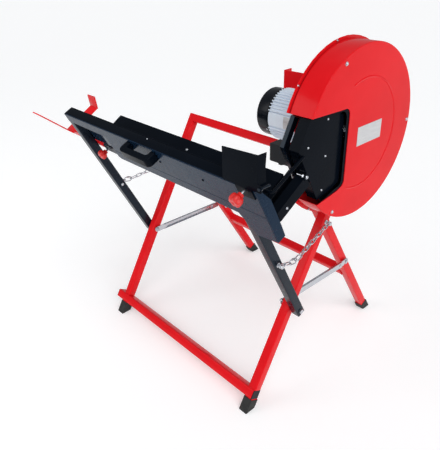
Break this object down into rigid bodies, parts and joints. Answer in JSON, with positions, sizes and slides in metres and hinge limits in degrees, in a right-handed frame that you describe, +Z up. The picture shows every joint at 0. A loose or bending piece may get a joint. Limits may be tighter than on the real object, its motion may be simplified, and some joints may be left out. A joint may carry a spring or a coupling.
{
  "type": "log saw",
  "caption": "Electric log saw on a folding stand: a hand-tilted trough feeds logs to a guarded circular blade driven by a side motor.",
  "frame": {"origin": "bottom centre of the whole saw, on the floor it stands on", "axes": "+Z up, +X to the blade side, +Y from the operator and trough towards the motor and rear legs"},
  "size_m": [1.088, 0.8771, 1.1311],
  "materials": {
    "red_paint": "gloss powder coat",
    "black_paint": "gloss powder coat",
    "grey_paint": "satin paint",
    "zinc": "bright zinc plate",
    "steel": "ground steel",
    "copper": "lacquered winding",
    "black_plastic": "moulded",
    "red_plastic": "moulded",
    "green_plastic": "moulded",
    "rubber": "moulded"
  },
  "bodies": {
    "stand": {"front_leg_right": "red_paint", "front_leg_left": "red_paint", "front_top_bar": "red_paint", "front_foot_bar": "red_paint", "front_foot_right": "rubber", "front_foot_left": "rubber", "cradle_pivot_bolt_right": "zinc", "cradle_pivot_bolt_left": "zinc", "chain_anchor_bolt_right": "zinc", "chain_anchor_bolt_left": "zinc", "carrier_plate": "red_paint", "guard_back_plate": "red_paint", "guard_shell": "red_paint", "motor_body": "grey_paint", "motor_flange": "grey_paint", "motor_fan_cover": "black_plastic", "stator": "copper", "rear_bearing": "steel", "front_bearing": "steel", "switch_box": "black_plastic", "switch_inlet": "black_plastic"},
    "rear_frame": {"rear_leg_right": "red_paint", "rear_leg_left": "red_paint", "rear_crossbar": "red_paint", "rear_foot_right": "rubber", "rear_foot_left": "rubber", "rear_fold_bolt_right": "zinc", "rear_fold_bolt_left": "zinc", "strut_stud_right": "zinc", "strut_stud_left": "zinc"},
    "strut_right": {"strut_right": "zinc"},
    "strut_left": {"strut_left": "zinc"},
    "cradle": {"cradle_leg_right": "black_paint", "cradle_leg_left": "black_paint", "front_panel": "black_paint", "top_rail": "black_paint", "trough_bed": "black_paint", "kerf_channel": "black_paint", "moving_guard_right": "black_paint", "moving_guard_left": "black_paint", "guard_brace_rod": "black_paint", "handle": "black_paint", "extension_sleeve": "black_paint", "chain_lug_bolt_right": "zinc", "chain_lug_bolt_left": "zinc"},
    "chain_right_lower": {"chain_right_lower": "zinc"},
    "chain_left_lower": {"chain_left_lower": "zinc"},
    "chain_right_upper": {"chain_right_upper": "zinc"},
    "chain_left_upper": {"chain_left_upper": "zinc"},
    "log_extension": {"log_extension": "red_paint"},
    "extension_knob": {"extension_knob": "red_plastic"},
    "stop_plate": {"stop_plate": "black_paint"},
    "stop_knob": {"stop_knob": "red_plastic"},
    "blade_shaft": {"saw_blade": "steel", "inner_flange": "zinc", "outer_flange_nut": "zinc", "motor_shaft": "steel", "fan": "black_plastic"},
    "start_button": {"start_button": "green_plastic"},
    "stop_button": {"stop_button": "red_plastic"}
  },
  "joints": [
    {"name": "cradle_tilt", "type": "hinge", "parent": "stand", "child": "cradle", "pos_m": [0.036, -0.11407, 0.3205], "axis": [-1, 0, 0], "range_deg": [0, 13]},
    {"name": "rear_frame_fold", "type": "hinge", "parent": "stand", "child": "rear_frame", "pos_m": [0.036, 0.05363, 0.6015], "axis": [-1, 0, 0], "range_deg": [0, 55]},
    {"name": "strut_right_swing", "type": "hinge", "parent": "stand", "child": "strut_right", "pos_m": [0.373, -0.11407, 0.3205], "axis": [1, 0, 0], "range_deg": [0, 55]},
    {"name": "chain_right_lower_swing", "type": "hinge", "parent": "cradle", "child": "chain_right_lower", "pos_m": [0.456, -0.22647, 0.5452], "axis": [-1, 0, 0], "range_deg": [0, 50.98]},
    {"name": "chain_right_upper_swing", "type": "hinge", "parent": "stand", "child": "chain_right_upper", "pos_m": [0.422, 0.03263, 0.567], "axis": [1, 0, 0], "range_deg": [0, 9.47]},
    {"name": "strut_left_swing", "type": "hinge", "parent": "stand", "child": "strut_left", "pos_m": [-0.301, -0.11407, 0.3205], "axis": [1, 0, 0], "range_deg": [0, 55]},
    {"name": "chain_left_lower_swing", "type": "hinge", "parent": "cradle", "child": "chain_left_lower", "pos_m": [-0.384, -0.22647, 0.5452], "axis": [-1, 0, 0], "range_deg": [0, 50.98]},
    {"name": "chain_left_upper_swing", "type": "hinge", "parent": "stand", "child": "chain_left_upper", "pos_m": [-0.35, 0.03263, 0.567], "axis": [1, 0, 0], "range_deg": [0, 9.47]},
    {"name": "blade_spin", "type": "hinge", "parent": "stand", "child": "blade_shaft", "pos_m": [0.486, -0.01327, 0.8941], "axis": [1, 0, 0], "continuous": true},
    {"name": "log_extension_slide", "type": "slide", "parent": "cradle", "child": "log_extension", "axis": [-1, 0, 0], "range_m": [-0.1, 0.12]},
    {"name": "extension_knob_turn", "type": "hinge", "parent": "cradle", "child": "extension_knob", "pos_m": [-0.272, -0.32565, 0.71303], "axis": [0, 0.8957, 0.4446], "range_deg": [-360, 360]},
    {"name": "stop_plate_slide", "type": "slide", "parent": "cradle", "child": "stop_plate", "axis": [1, 0, 0], "range_m": [-0.02, 0.02]},
    {"name": "stop_knob_turn", "type": "hinge", "parent": "stop_plate", "child": "stop_knob", "pos_m": [0.4875, -0.4237, 0.83182], "axis": [0, 0.8957, 0.4446], "range_deg": [-360, 360]},
    {"name": "start_button_press", "type": "slide", "parent": "stand", "child": "start_button", "axis": [1, 0, 0], "range_m": [0, 0.004], "stiffness_N_per_m": 400},
    {"name": "stop_button_press", "type": "slide", "parent": "stand", "child": "stop_button", "axis": [1, 0, 0], "range_m": [0, 0.004], "stiffness_N_per_m": 400}
  ],
  "couplings": [
    {"joint": "strut_right_swing", "follows": "rear_frame_fold", "ratio": 1},
    {"joint": "chain_right_lower_swing", "follows": "cradle_tilt", "ratio": 3.9207},
    {"joint": "chain_right_upper_swing", "follows": "cradle_tilt", "ratio": 0.7275},
    {"joint": "strut_left_swing", "follows": "rear_frame_fold", "ratio": 1},
    {"joint": "chain_left_lower_swing", "follows": "cradle_tilt", "ratio": 3.9207},
    {"joint": "chain_left_upper_swing", "follows": "cradle_tilt", "ratio": 0.7275}
  ]
}
